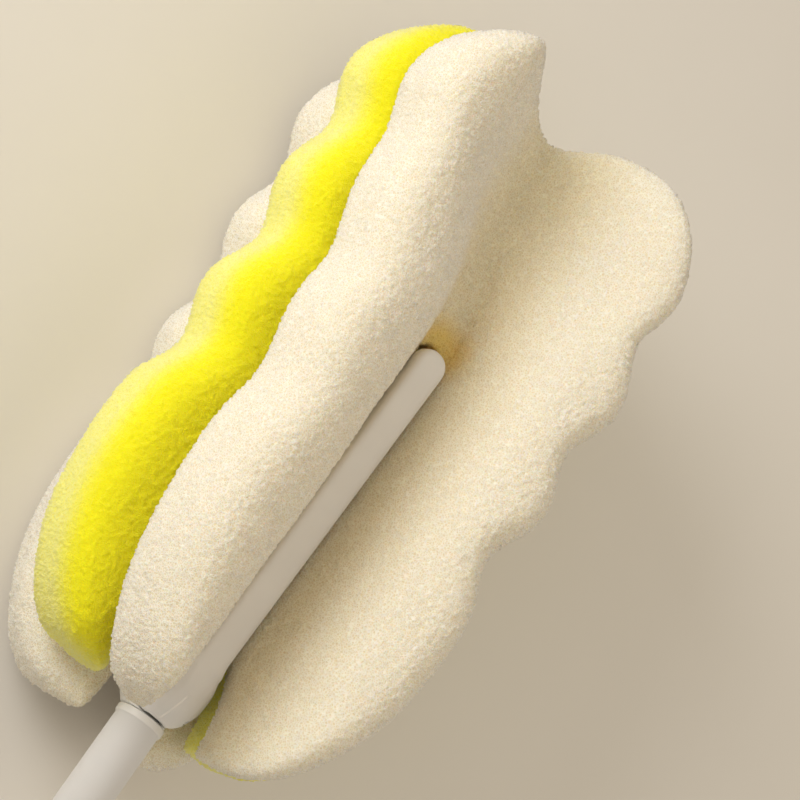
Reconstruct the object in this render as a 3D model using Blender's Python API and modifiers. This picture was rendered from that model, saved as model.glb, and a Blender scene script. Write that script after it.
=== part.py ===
"""Sponge cup brush: three scalloped foam layers held in a hinged two-prong fork on a tube handle.

Every piece is shaped in the brush's own frame: the tube runs along Z with its rim at zero and the
head above it, X is the brush's right and -Y its front. One empty then lays the brush on its back
layer, front up, with the head towards +Y.
"""

import math

import bmesh
import bpy
import numpy as np
from mathutils import Matrix, Vector

# Clearances and overruns
CLEARANCE = 0.0003
OVERRUN = 0.002
MERGE = 0.00001

# Handle tube
TUBE_DIAMETER = 0.009
TUBE_WALL = 0.0009
TUBE_LENGTH = 0.145
TUBE_LIP_PROUD = 0.0003
TUBE_LIP_HEIGHT = 0.0016
TUBE_EDGE_RADIUS = 0.0003

# End plug with its hanging eye
PLUG_SHANK_LENGTH = 0.016
PLUG_COLLAR_LENGTH = 0.003
PLUG_COLLAR_ROUND = 0.0006
PLUG_TIP_CHAMFER = 0.0005
EYE_DIAMETER = 0.008
EYE_TAB_WIDTH = 0.014
EYE_TAB_THICKNESS = 0.0046
EYE_TAB_ROUND = 0.0012
EYE_SIDES = 24
EYE_TAB_POINTS = 15
EYE_TAB_ROUND_CUTS = 2

# Fork: the bulb at its root
FORK_SHANK_LENGTH = 0.020
FORK_SEAT_OVERLAP = 0.0002
BULB_SEAT_RADIUS = 0.0045
BULB_HALF_WIDTH = 0.0073
BULB_FULL_HEIGHT = 0.0055
BULB_WIDE_HEIGHT = 0.0070
BULB_TAPER_LENGTH = 0.0080
BULB_DEEP_HEIGHT = 0.0100
BULB_TOP_HEIGHT = 0.0112
BULB_LEDGE_HEIGHT = 0.0010

# Fork: hinge
HINGE_FORWARD = 0.0043
HINGE_HEIGHT = 0.0039
HINGE_PIN_DIAMETER = 0.0016
HINGE_PIN_INSET = 0.0004
KNUCKLE_RADIUS = HINGE_HEIGHT - CLEARANCE
TONGUE_RADIUS = 0.0020
TONGUE_WIDTH = 0.0030
TONGUE_WEB_BELOW = 0.0011
TONGUE_POINTS = 20
KNUCKLE_TURNS = tuple(math.radians(turn) for turn in (14, 32, 50, 70, 90))

# Fork: prongs
PRONG_WIDTH = 0.0068
PRONG_THICKNESS = 0.0038
PRONG_TIP_HEIGHT = 0.0834
PRONG_LEAN = math.radians(3.0)
PRONG_EDGE_DEPTH = 0.0013
PRONG_EDGE_SHARE = 0.33
PRONG_TIP_DEPTH = 0.0016
SECTION_POWER_ROUND = 2.0
SECTION_POWER_FLAT = 4.5
TIP_PIN_DIAMETER = 0.0040
TIP_PIN_BELOW_TIP = 0.0042
PIN_DEPTH_SHARE = 0.6
PIN_CURVE_STEPS = 8

# Foam: outline of one layer laid flat
FOAM_BOTTOM = -0.0032
FRONT_BOTTOM_RISE = 0.0020
MIDDLE_BOTTOM_RISE = 0.0042
BACK_TOP_DROP = 0.0060
FOAM_TOP = 0.1375
FOAM_HALF_WIDTH = 0.0378
FRONT_OFF_CENTRE = 0.0012
MIDDLE_OFF_CENTRE = 0.0016
NOTCH_DEPTH = 0.0044
NOTCH_HEIGHTS = (0.0553, 0.0805, 0.1062)
NOTCH_SPREAD = 0.0080
BOTTOM_CORNER_WIDTH = 0.0198
BOTTOM_CORNER_HEIGHT = 0.0390
TOP_CORNER_WIDTH = 0.0215
TOP_CORNER_HEIGHT = 0.0255
CROTCH_HEIGHT = 0.0165
CROTCH_HALF_WIDTH = 0.0118
CROTCH_FRONT_HALF_WIDTH = 0.0080
CROTCH_BACK_HALF_WIDTH = 0.0072
HUG_START_SHARE = 0.60
TOP_DIP = 0.0065
TOP_DIP_HALF_WIDTH = 0.0150
HEAD_SKEW = 0.0028
SKEW_START = 0.0860
SKEW_LENGTH = 0.0400

# Foam: thickness, pinch and fold
LAYERS_PER_PRONG = 1.5
FOAM_THICKNESS = 0.0190
FOAM_PINCHED = 0.0053
FOAM_BONDED = 0.0036
PINCH_MARGIN = 0.0003
MIDDLE_RECOVERY = 0.0240
OUTER_RECOVERY = 0.0220
BOND_LENGTH = 0.0340
BOND_HALF_WIDTH = 0.0025
BOND_RECOVERY = 0.0240
WING_START = 0.0040
WING_BEND = 0.0080
LEAN_LENGTH = 0.0160
WING_SLOPE = 0.26
WING_EASE_START = 0.0480
WING_EASE_LENGTH = 0.0700
RECOVERY_POWER = 2.4
FOAM_EDGE_RADIUS = 0.0065
REST_FLAT_DEPTH = 0.0005

# Foam: slot that the fork's tip pin passes through
SLOT_HALF_WIDTH = 0.0028
SLOT_TOP_ABOVE_TIP = 0.0060
SLOT_TOP_HALF_WIDTH = 0.0010

# Foam cage: where the block is cut, as shares of its half width and of its length
STRIP_SHARE = 0.10
ACROSS_SHARES = (STRIP_SHARE, 0.18, 0.30, 0.50, 0.74)
ALONG_ROWS = 29
END_CROWD_SHARE = 0.45

# How finely round shapes and the fold are cut
TUBE_SIDES = 32
FORK_SIDES = 28
PIN_SIDES = 16
BULB_FRONT_CUTS = 5
BULB_BACK_CUTS = 9
PRONG_ROOT_CUTS = 4
PRONG_TIP_CUTS = 5
FOLD_SAMPLES = 120
FOLD_REACH_SHARE = 1.4
SHARP_ANGLE = math.radians(40)
FOAM_SHARP_ANGLE = math.radians(75)
ROUND_PROFILE_SHARE = 0.5

# Colour, roughness and metallic share of each material
FINISHES = {
    "white_plastic": ((0.78, 0.76, 0.74), 0.35, 0.0),
    "steel": ((0.62, 0.62, 0.63), 0.30, 1.0),
    "white_foam": ((0.90, 0.86, 0.76), 0.95, 0.0),
    "yellow_foam": ((0.98, 0.90, 0.06), 0.95, 0.0),
}


# Scene, collections and materials


def clear_scene():
    for item in list(bpy.data.objects):
        bpy.data.objects.remove(item, do_unlink=True)


def new_collection(name):
    collection = bpy.data.collections.new(name)
    bpy.context.scene.collection.children.link(collection)
    return collection


def material(name):
    made = bpy.data.materials.get(name)
    if made is None:
        colour, roughness, metallic = FINISHES[name]
        made = bpy.data.materials.new(name)
        made.use_nodes = True
        shader = made.node_tree.nodes["Principled BSDF"]
        shader.inputs["Base Color"].default_value = (*colour, 1.0)
        shader.inputs["Roughness"].default_value = roughness
        shader.inputs["Metallic"].default_value = metallic
    return made


def add_piece(name, bm, finish, parent, sharp_angle=SHARP_ANGLE):
    """A named piece of the brush, from a bmesh in the frame of its parent."""
    mesh = bpy.data.meshes.new(name)
    bmesh.ops.recalc_face_normals(bm, faces=bm.faces)
    bm.to_mesh(mesh)
    bm.free()
    mesh.shade_smooth()
    mesh.set_sharp_from_angle(angle=sharp_angle)
    mesh.materials.append(finish)
    piece = bpy.data.objects.new(name, mesh)
    parts.objects.link(piece)
    piece.parent = parent
    return piece


def add_cutter(name, bm, parent):
    mesh = bpy.data.meshes.new(name)
    bmesh.ops.recalc_face_normals(bm, faces=bm.faces)
    bm.to_mesh(mesh)
    bm.free()
    cutter = bpy.data.objects.new(name, mesh)
    cutters.objects.link(cutter)
    cutter.parent = parent
    cutter.hide_render = True
    cutter.display_type = "WIRE"
    return cutter


def combine(piece, other, operation):
    step = piece.modifiers.new(f"{operation.lower()}_{other.name}", "BOOLEAN")
    step.operation = operation
    step.solver = "EXACT"
    step.object = other


def empty_at(name, location, parent=None):
    empty = bpy.data.objects.new(name, None)
    parts.objects.link(empty)
    empty.location = location
    empty.parent = parent
    return empty


# Basic shapes


def turned(profile, sides):
    """A solid turned about Z from (radius, height) points that start and end on the axis."""
    bm = bmesh.new()
    points = [bm.verts.new((radius, 0.0, height)) for radius, height in profile]
    edges = [bm.edges.new(pair) for pair in zip(points, points[1:])]
    bmesh.ops.spin(
        bm, geom=points + edges, cent=(0, 0, 0), axis=(0, 0, 1), angle=math.tau, steps=sides, use_merge=True
    )
    bmesh.ops.remove_doubles(bm, verts=bm.verts, dist=MERGE)
    return bm


def cylinder_along_x(radius, half_length, forward, height, sides=PIN_SIDES):
    bm = bmesh.new()
    place = Matrix.Translation((0, -forward, height)) @ Matrix.Rotation(math.pi / 2, 4, "Y")
    bmesh.ops.create_cone(
        bm, cap_ends=True, segments=sides, radius1=radius, radius2=radius, depth=2 * half_length, matrix=place
    )
    return bm


def block(low, high):
    bm = bmesh.new()
    middle = (Vector(low) + Vector(high)) / 2
    size = Vector(high) - Vector(low)
    place = Matrix.Translation(middle) @ Matrix.Diagonal((*size, 1))
    bmesh.ops.create_cube(bm, size=1, matrix=place)
    return bm


def slab(outline, low, high, axis):
    """A flat outline of (first, second) points, made solid from low to high along X or Y."""
    bm = bmesh.new()
    if axis == "X":
        corners = [bm.verts.new((low, first, second)) for first, second in outline]
        step = (high - low, 0, 0)
    else:
        corners = [bm.verts.new((first, low, second)) for first, second in outline]
        step = (0, high - low, 0)
    face = bm.faces.new(corners)
    grown = bmesh.ops.extrude_face_region(bm, geom=[face])
    bmesh.ops.translate(bm, verts=[v for v in grown["geom"] if isinstance(v, bmesh.types.BMVert)], vec=step)
    bmesh.ops.recalc_face_normals(bm, faces=bm.faces)
    return bm


def arc(centre, radius, start, end, count):
    angles = np.linspace(start, end, count)
    return [(centre[0] + radius * math.cos(a), centre[1] + radius * math.sin(a)) for a in angles]


def smooth(share):
    share = np.clip(share, 0.0, 1.0)
    return share * share * (3 - 2 * share)


# Handle


def handle_tube(parent):
    outer = TUBE_DIAMETER / 2
    inner = outer - TUBE_WALL
    lip = outer + TUBE_LIP_PROUD
    edge = TUBE_EDGE_RADIUS
    profile = [
        (inner, 0.0),
        (lip - edge, 0.0),
        (lip, -edge),
        (lip, edge - TUBE_LIP_HEIGHT),
        (outer, -TUBE_LIP_HEIGHT),
        (outer, edge - TUBE_LENGTH),
        (outer - edge, -TUBE_LENGTH),
        (inner, -TUBE_LENGTH),
    ]
    bm = bmesh.new()
    points = [bm.verts.new((radius, 0.0, height)) for radius, height in profile]
    edges = [bm.edges.new(pair) for pair in zip(points, points[1:] + points[:1])]
    mesh = bpy.data.meshes.new("handle_tube")
    bm.to_mesh(mesh)
    bm.free()
    mesh.materials.append(material("white_plastic"))
    tube = bpy.data.objects.new("handle_tube", mesh)
    parts.objects.link(tube)
    tube.parent = parent
    turn = tube.modifiers.new("turn", "SCREW")
    turn.axis = "Z"
    turn.steps = TUBE_SIDES
    turn.render_steps = TUBE_SIDES
    turn.use_merge_vertices = True
    turn.merge_threshold = MERGE
    turn.use_smooth_shade = True
    return tube


def end_plug(parent):
    """A turned plug, pressed into the tube's far end, with a flat tab and a round hanging eye."""
    seat = -TUBE_LENGTH - CLEARANCE
    shank = TUBE_DIAMETER / 2 - TUBE_WALL - CLEARANCE
    collar = TUBE_DIAMETER / 2
    bottom = seat - PLUG_COLLAR_LENGTH
    profile = [
        (0.0, seat + PLUG_SHANK_LENGTH),
        (shank - PLUG_TIP_CHAMFER, seat + PLUG_SHANK_LENGTH),
        (shank, seat + PLUG_SHANK_LENGTH - PLUG_TIP_CHAMFER),
        (shank, seat),
        (collar, seat),
        (collar, bottom + PLUG_COLLAR_ROUND),
        (collar - PLUG_COLLAR_ROUND, bottom),
        (0.0, bottom),
    ]
    plug = add_piece("end_plug", turned(profile, TUBE_SIDES), material("white_plastic"), parent)
    half = EYE_TAB_WIDTH / 2
    centre = bottom - half
    outline = [(half, centre), (collar - PLUG_COLLAR_ROUND, bottom + PLUG_COLLAR_LENGTH / 2)]
    outline += [(-x, z) for x, z in reversed(outline)]
    outline += arc((0.0, centre), half, math.pi, math.tau, EYE_TAB_POINTS)[1:-1]
    tab = slab(outline, -EYE_TAB_THICKNESS / 2, EYE_TAB_THICKNESS / 2, "Y")
    bmesh.ops.bevel(
        tab,
        geom=tab.edges[:],
        offset=EYE_TAB_ROUND,
        segments=EYE_TAB_ROUND_CUTS,
        affect="EDGES",
        clamp_overlap=True,
        profile=ROUND_PROFILE_SHARE,
    )
    combine(plug, add_cutter("eye_tab", tab, parent), "UNION")
    hole = bmesh.new()
    place = Matrix.Translation((0, 0, centre)) @ Matrix.Rotation(math.pi / 2, 4, "X")
    bmesh.ops.create_cone(
        hole,
        cap_ends=True,
        segments=EYE_SIDES,
        radius1=EYE_DIAMETER / 2,
        radius2=EYE_DIAMETER / 2,
        depth=EYE_TAB_THICKNESS + 2 * OVERRUN,
        matrix=place,
    )
    combine(plug, add_cutter("hanging_eye", hole, parent), "DIFFERENCE")
    return plug


# Fork


def prong_inner_reach(height):
    """How far a prong's inner face stands from the brush's axis at a height."""
    pinched_stack = LAYERS_PER_PRONG * FOAM_PINCHED + 2 * CLEARANCE
    root = pinched_stack - (PRONG_TIP_HEIGHT - CROTCH_HEIGHT) / 2 * math.tan(PRONG_LEAN)
    return root + (height - CROTCH_HEIGHT) * math.tan(PRONG_LEAN)


def fork_narrowing(height):
    """Zero at the bulb's widest, rising to one where only the plain prong is left."""
    return smooth((height - BULB_WIDE_HEIGHT) / BULB_TAPER_LENGTH)


def fork_half_width(height):
    if height < BULB_FULL_HEIGHT:
        swell = math.sin(max(0.0, height) / BULB_FULL_HEIGHT * math.pi / 2)
        return BULB_SEAT_RADIUS + (BULB_HALF_WIDTH - BULB_SEAT_RADIUS) * swell
    return BULB_HALF_WIDTH + (PRONG_WIDTH / 2 - BULB_HALF_WIDTH) * fork_narrowing(height)


def fork_outer_reach(height):
    """How far the fork stands out: it swells from the tube's mouth and runs on as the prong's outer face."""
    if height >= BULB_DEEP_HEIGHT:
        return prong_inner_reach(height) + PRONG_THICKNESS
    full = prong_inner_reach(BULB_DEEP_HEIGHT) + PRONG_THICKNESS
    swell = math.sin(max(0.0, height) / BULB_DEEP_HEIGHT * math.pi / 2)
    return BULB_SEAT_RADIUS + (full - BULB_SEAT_RADIUS) * swell


def fork_ring(height, inner, outer, tip_share=0.0):
    """One section of a fork half: flat towards the other half, round at the bulb and flatter on the prong."""
    middle = inner + min(PRONG_EDGE_DEPTH, (outer - inner) * PRONG_EDGE_SHARE)
    plain = fork_narrowing(height)
    chord = math.sqrt(max(0.0, 1 - (middle / outer) ** 2))
    half = fork_half_width(height) * (chord + (1 - chord) * plain)
    half *= math.sqrt(1 - tip_share**2)
    outer -= PRONG_TIP_DEPTH * (1 - math.sqrt(1 - tip_share**2))
    power = SECTION_POWER_ROUND + (SECTION_POWER_FLAT - SECTION_POWER_ROUND) * plain
    ring = []
    for turn in np.arange(FORK_SIDES) * math.tau / FORK_SIDES:
        side, up = math.cos(turn), math.sin(turn)
        depth, bend = (outer - middle, power) if up > 0 else (middle - inner, SECTION_POWER_FLAT)
        across = math.copysign(abs(side) ** (2 / bend), side) * half
        out = middle + math.copysign(abs(up) ** (2 / bend), up) * depth
        ring.append((across, out, height))
    return ring


def lofted(rings, facing):
    """A closed solid through rings of (across, out, height) points; facing is 1 for the front, -1 for the back."""
    bm = bmesh.new()
    rows = [[bm.verts.new((x, -facing * out, height)) for x, out, height in ring] for ring in rings]
    for low, high in zip(rows, rows[1:]):
        for i in range(len(low)):
            j = (i + 1) % len(low)
            bm.faces.new((low[i], low[j], high[j], high[i]))
    bm.faces.new(rows[0])
    bm.faces.new(rows[-1])
    return bm


def prong_rings():
    """Sections of a plain prong, from the bulb's ledge up to the rounded tip."""
    low = BULB_TOP_HEIGHT + BULB_LEDGE_HEIGHT
    straight_top = PRONG_TIP_HEIGHT - PRONG_WIDTH / 2
    taper = np.linspace(low, BULB_WIDE_HEIGHT + BULB_TAPER_LENGTH, PRONG_ROOT_CUTS)
    rings = [fork_ring(z, prong_inner_reach(z), fork_outer_reach(z)) for z in (*taper, straight_top)]
    for share in np.sin(np.linspace(0, 1, PRONG_TIP_CUTS + 2)[1:-1] * math.pi / 2):
        z = straight_top + PRONG_WIDTH / 2 * share
        rings.append(fork_ring(z, prong_inner_reach(z), fork_outer_reach(z), share))
    return rings


def front_rings():
    """Sections of the moving half: a knuckle about the hinge, the bulb's front shell, then the prong."""
    rings = []
    for turn in KNUCKLE_TURNS:
        z = HINGE_HEIGHT - KNUCKLE_RADIUS * math.cos(turn)
        reach = KNUCKLE_RADIUS * math.sin(turn)
        outer = min(fork_outer_reach(z), HINGE_FORWARD + reach)
        rings.append(fork_ring(z, HINGE_FORWARD - reach, outer))
    for z in np.linspace(HINGE_HEIGHT, BULB_TOP_HEIGHT, BULB_FRONT_CUTS + 1)[1:]:
        rings.append(fork_ring(z, HINGE_FORWARD - KNUCKLE_RADIUS, fork_outer_reach(z)))
    return rings + prong_rings()


def back_rings():
    """Sections of the fixed half: the bulb's back, which reaches past the axis to the hinge, then the prong."""
    inner = KNUCKLE_RADIUS + CLEARANCE - HINGE_FORWARD
    heights = np.linspace(CLEARANCE, BULB_TOP_HEIGHT, BULB_BACK_CUTS)
    return [fork_ring(z, inner, fork_outer_reach(z)) for z in heights] + prong_rings()


def tip_pin_arc():
    """Radius and the two end angles of the tip pin's centre line about the hinge, from straight up."""
    height = PRONG_TIP_HEIGHT - TIP_PIN_BELOW_TIP - HINGE_HEIGHT
    start = prong_inner_reach(PRONG_TIP_HEIGHT) + PRONG_THICKNESS / 2 - HINGE_FORWARD
    end = -prong_inner_reach(PRONG_TIP_HEIGHT) - PRONG_THICKNESS * PIN_DEPTH_SHARE - HINGE_FORWARD
    radius = math.hypot(height, start)
    return radius, math.asin(start / radius), math.asin(end / radius)


def tip_pin(radius_extra, overrun, frame_forward, frame_height):
    """The round pin that curves about the hinge, in a frame at the given forward and height."""
    radius, start, end = tip_pin_arc()
    bm = bmesh.new()
    thick = TIP_PIN_DIAMETER / 2 + radius_extra
    end -= overrun / radius
    place = Matrix.Translation((0, -radius * math.sin(start), radius * math.cos(start)))
    place = place @ Matrix.Rotation(start, 4, "X") @ Matrix.Rotation(math.pi / 2, 4, "X")
    ring = bmesh.ops.create_circle(bm, cap_ends=True, segments=PIN_SIDES, radius=thick, matrix=place)
    bmesh.ops.spin(
        bm,
        geom=bm.faces[:] + bm.edges[:] + ring["verts"],
        cent=(0, 0, 0),
        axis=(1, 0, 0),
        angle=end - start,
        steps=PIN_CURVE_STEPS,
        use_duplicate=False,
    )
    shift = Vector((0, frame_forward - HINGE_FORWARD, HINGE_HEIGHT - frame_height))
    bmesh.ops.translate(bm, verts=bm.verts, vec=shift)
    return bm


def tongue():
    """The fixed half's tongue: a round end about the hinge pin on a web from the bulb's back."""
    lowest = math.tau - math.asin(TONGUE_WEB_BELOW / TONGUE_RADIUS)
    outline = arc((-HINGE_FORWARD, HINGE_HEIGHT), TONGUE_RADIUS, math.pi / 2, lowest, TONGUE_POINTS)
    outline += [(0.0, HINGE_HEIGHT - TONGUE_WEB_BELOW), (0.0, HINGE_HEIGHT + TONGUE_RADIUS)]
    return slab(outline, -TONGUE_WIDTH / 2, TONGUE_WIDTH / 2, "X")


def hinge_hole():
    reach = BULB_HALF_WIDTH + OVERRUN
    return cylinder_along_x(HINGE_PIN_DIAMETER / 2 + CLEARANCE, reach, HINGE_FORWARD, HINGE_HEIGHT)


def back_prong(parent):
    """The fixed half of the fork: shank, the bulb's back with the hinge's tongue, and the back prong."""
    piece = add_piece("back_prong", lofted(back_rings(), -1.0), material("white_plastic"), parent)
    shank = TUBE_DIAMETER / 2 - TUBE_WALL - CLEARANCE
    top = CLEARANCE + FORK_SEAT_OVERLAP
    profile = [(0.0, top), (shank, top), (shank, -FORK_SHANK_LENGTH), (0.0, -FORK_SHANK_LENGTH)]
    combine(piece, add_cutter("fork_shank", turned(profile, TUBE_SIDES), parent), "UNION")
    combine(piece, add_cutter("tongue", tongue(), parent), "UNION")
    combine(piece, add_cutter("tongue_hole", hinge_hole(), parent), "DIFFERENCE")
    bore = tip_pin(CLEARANCE, OVERRUN, 0.0, 0.0)
    combine(piece, add_cutter("tip_bore", bore, parent), "DIFFERENCE")
    return piece


def hinge_pin(parent):
    width = fork_half_width(HINGE_HEIGHT)
    share = HINGE_FORWARD / fork_outer_reach(HINGE_HEIGHT)
    half = width * math.sqrt(1 - share**2) - HINGE_PIN_INSET
    bm = cylinder_along_x(HINGE_PIN_DIAMETER / 2, half, HINGE_FORWARD, HINGE_HEIGHT)
    return add_piece("hinge_pin", bm, material("steel"), parent)


def to_hinge(bm):
    bmesh.ops.translate(bm, verts=bm.verts, vec=(0, HINGE_FORWARD, -HINGE_HEIGHT))
    return bm


def tongue_room():
    """Room for the tongue inside the moving half: round about the pin and open towards the back."""
    half = TONGUE_WIDTH / 2 + CLEARANCE
    round_room = cylinder_along_x(TONGUE_RADIUS + CLEARANCE, half, HINGE_FORWARD, HINGE_HEIGHT, TUBE_SIDES)
    low = HINGE_HEIGHT - KNUCKLE_RADIUS - OVERRUN
    way = block((-half, -HINGE_FORWARD, low), (half, OVERRUN, HINGE_HEIGHT + TONGUE_RADIUS + CLEARANCE))
    return to_hinge(round_room), to_hinge(way)


def front_prong(parent):
    """The moving half of the fork, in the hinge's frame: knuckles, the bulb's front, prong and curved tip pin."""
    white = material("white_plastic")
    piece = add_piece("front_prong", to_hinge(lofted(front_rings(), 1.0)), white, parent)
    pin = tip_pin(0.0, 0.0, HINGE_FORWARD, HINGE_HEIGHT)
    combine(piece, add_cutter("tip_pin", pin, parent), "UNION")
    round_room, way = tongue_room()
    combine(piece, add_cutter("tongue_room", round_room, parent), "DIFFERENCE")
    combine(piece, add_cutter("tongue_way", way, parent), "DIFFERENCE")
    combine(piece, add_cutter("knuckle_hole", to_hinge(hinge_hole()), parent), "DIFFERENCE")
    return piece


# Foam: the flat outline


def half_width(height):
    """Half of a layer's flat width at a height: round end corners and three shallow notches."""
    width = FOAM_HALF_WIDTH
    for notch in NOTCH_HEIGHTS:
        width -= NOTCH_DEPTH * math.exp(-(((height - notch) / NOTCH_SPREAD) ** 2))
    low = (FOAM_BOTTOM + BOTTOM_CORNER_HEIGHT - height) / BOTTOM_CORNER_HEIGHT
    high = (height - FOAM_TOP + TOP_CORNER_HEIGHT) / TOP_CORNER_HEIGHT
    if low > 0:
        width -= BOTTOM_CORNER_WIDTH * (1 - math.sqrt(max(0.0, 1 - low**2)))
    if high > 0:
        width -= TOP_CORNER_WIDTH * (1 - math.sqrt(max(0.0, 1 - high**2)))
    return width


def bottom_edge(across, depth_share, outer_arch):
    """The layer's lower end, arched over the fork's bulb and closer about it at the layer's outer face."""
    hug = smooth((depth_share - HUG_START_SHARE) / (1 - HUG_START_SHARE))
    arch = CROTCH_HALF_WIDTH + (outer_arch - CROTCH_HALF_WIDTH) * hug
    share = min(1.0, abs(across) / arch)
    return FOAM_BOTTOM + (CROTCH_HEIGHT - FOAM_BOTTOM) * math.sqrt(1 - share**2)


def top_edge(across):
    return FOAM_TOP - TOP_DIP * (1 - smooth(abs(across) / TOP_DIP_HALF_WIDTH))


# Foam: the pinch between the prongs and the fold of the wings


def above_prongs(height):
    """Zero beside the prongs, rising to one at the plain bonded end of the head."""
    return smooth((height - PRONG_TIP_HEIGHT) / BOND_LENGTH)


def pinched_half_width(height):
    beside = PRONG_WIDTH / 2 + PINCH_MARGIN
    return beside + (BOND_HALF_WIDTH - beside) * above_prongs(height)


def pinched(height):
    """A layer's thickness on the centre line: squeezed by the leaning prongs, bonded above their tips."""
    held = (prong_inner_reach(min(height, PRONG_TIP_HEIGHT)) - 2 * CLEARANCE) / LAYERS_PER_PRONG
    return held + (FOAM_BONDED - held) * above_prongs(height)


def thickness(across, height, recovery):
    """Full at the wings and thin on the centre line: a steep rise beside the prongs, a slope above."""
    centre = pinched(height)
    bonded = above_prongs(height)
    length = recovery + (BOND_RECOVERY - recovery) * bonded
    share = np.clip((across - pinched_half_width(height)) / length, 0.0, 1.0)
    steep = 1 - (1 - share) ** RECOVERY_POWER
    sloped = (share + smooth(share)) / 2
    return centre + (FOAM_THICKNESS - centre) * (steep + (sloped - steep) * bonded)


def wing_line(height):
    """The inner face of a folded layer's right wing, its lean, and the length along its middle."""
    across = np.linspace(0.0, FOLD_REACH_SHARE * FOAM_HALF_WIDTH, FOLD_SAMPLES)
    beyond = np.clip(across - WING_START, 0.0, None)
    ease = smooth((height - WING_EASE_START) / WING_EASE_LENGTH)
    opening = np.where(beyond < WING_BEND, beyond**2 / (2 * WING_BEND), beyond - WING_BEND / 2)
    opening *= WING_SLOPE * (1 - ease)
    out = thickness(across, height, MIDDLE_RECOVERY) / 2 + CLEARANCE + opening
    strip = pinched_half_width(height)
    lean = math.atan(WING_SLOPE) * (1 - ease) * smooth((across - strip) / LEAN_LENGTH)
    depth = thickness(across, height, OUTER_RECOVERY) / 2
    middle_x = across - depth * np.sin(lean)
    middle_out = out + depth * np.cos(lean)
    held = np.hypot(np.diff(middle_x), np.where(across[1:] > strip, np.diff(middle_out), 0.0))
    return across, out, lean, np.concatenate([[0.0], np.cumsum(held)])


def folded_point(across, height, depth_share):
    """Where a point of an outer layer comes to lie: right of the axis and out from it."""
    x, out, leans, length = wing_line(height)
    along = abs(across)
    base_x = np.interp(along, length, x)
    base_out = np.interp(along, length, out)
    lean = np.interp(along, length, leans)
    depth = thickness(base_x, height, OUTER_RECOVERY) * depth_share
    return math.copysign(base_x - depth * math.sin(lean), across), base_out + depth * math.cos(lean)


def flat_point(across, height, depth_share):
    return across, thickness(abs(across), height, MIDDLE_RECOVERY) * (depth_share - 0.5)


# Foam: the block that becomes a layer


def along_cuts():
    """Cuts along the layer, closer together near both ends."""
    even = np.linspace(-1.0, 1.0, ALONG_ROWS + 1)
    crowded = np.sin(even * math.pi / 2)
    return (even * (1 - END_CROWD_SHARE) + crowded * END_CROWD_SHARE)[1:-1]


def depth_cuts():
    straight = 1 - 2 * FOAM_EDGE_RADIUS / FOAM_THICKNESS
    turn = straight + (1 - straight) * math.sin(math.pi / 4)
    return (-turn, -straight, straight, turn)


def sliced_block():
    """A block from -1 to 1 on each axis, cut across X, Y and Z where a layer needs its points."""
    bm = bmesh.new()
    bmesh.ops.create_cube(bm, size=2)
    across = [0.0] + [side * share for share in ACROSS_SHARES for side in (-1, 1)]
    for normal, cuts in (((1, 0, 0), across), ((0, 1, 0), depth_cuts()), ((0, 0, 1), along_cuts())):
        for cut in cuts:
            geometry = bm.verts[:] + bm.edges[:] + bm.faces[:]
            bmesh.ops.bisect_plane(bm, geom=geometry, dist=MERGE, plane_co=Vector(normal) * cut, plane_no=normal)
    return bm


def edge_inset(depth):
    """How far the rounded edge draws in at a depth from -1 to 1."""
    straight = 1 - 2 * FOAM_EDGE_RADIUS / FOAM_THICKNESS
    share = max(0.0, (abs(depth) - straight) / (1 - straight))
    return FOAM_EDGE_RADIUS * (1 - math.sqrt(max(0.0, 1 - share**2)))


def spread(share, reach):
    """A place across the layer: the strip under the prongs keeps its width, the rest stretches."""
    strip = pinched_half_width(PRONG_TIP_HEIGHT)
    if abs(share) <= STRIP_SHARE:
        return share / STRIP_SHARE * strip
    outside = (abs(share) - STRIP_SHARE) / (1 - STRIP_SHARE)
    return math.copysign(strip + (reach - strip) * outside, share)


def foam_layer(name, finish, parent, fold, facing, outer_arch, rise, drop, off_centre):
    """One foam layer: a sliced block drawn out to the scalloped outline, then pinched and folded.

    Its lower end is raised by rise, its upper end lowered by drop, and its wings lie off centre to the left.
    """
    bm = sliced_block()
    for vert in bm.verts:
        u, w, v = vert.co
        inset = edge_inset(w)
        depth_share = (w + 1) / 2
        low = bottom_edge(spread(u, half_width(FOAM_BOTTOM) - inset), depth_share, outer_arch) + inset
        high = top_edge(spread(u, half_width(FOAM_TOP) - inset)) - inset
        height = low + rise + (high - drop - low - rise) * (v + 1) / 2
        row = FOAM_BOTTOM + inset + (FOAM_TOP - FOAM_BOTTOM - 2 * inset) * (v + 1) / 2
        across = spread(u, half_width(row) - inset - math.copysign(off_centre, u))
        x, out = fold(across, height, depth_share)
        x -= HEAD_SKEW * smooth((height - SKEW_START) / SKEW_LENGTH)
        vert.co = (x, -facing * out, height)
    return add_piece(name, bm, finish, parent, FOAM_SHARP_ANGLE)


def slot_cutter(parent):
    """The drop-shaped slot in the front layer, round below and narrow at its top."""
    centre = PRONG_TIP_HEIGHT - TIP_PIN_BELOW_TIP
    top = PRONG_TIP_HEIGHT + SLOT_TOP_ABOVE_TIP
    outline = arc((0.0, centre), SLOT_HALF_WIDTH, math.pi, math.tau, 9)
    outline += [(SLOT_HALF_WIDTH, PRONG_TIP_HEIGHT), (SLOT_TOP_HALF_WIDTH, top)]
    outline += [(-SLOT_TOP_HALF_WIDTH, top), (-SLOT_HALF_WIDTH, PRONG_TIP_HEIGHT)]
    front = prong_inner_reach(PRONG_TIP_HEIGHT) + FOAM_THICKNESS
    return add_cutter("front_slot", slab(outline, -front, 0.0, "Y"), parent)


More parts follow.
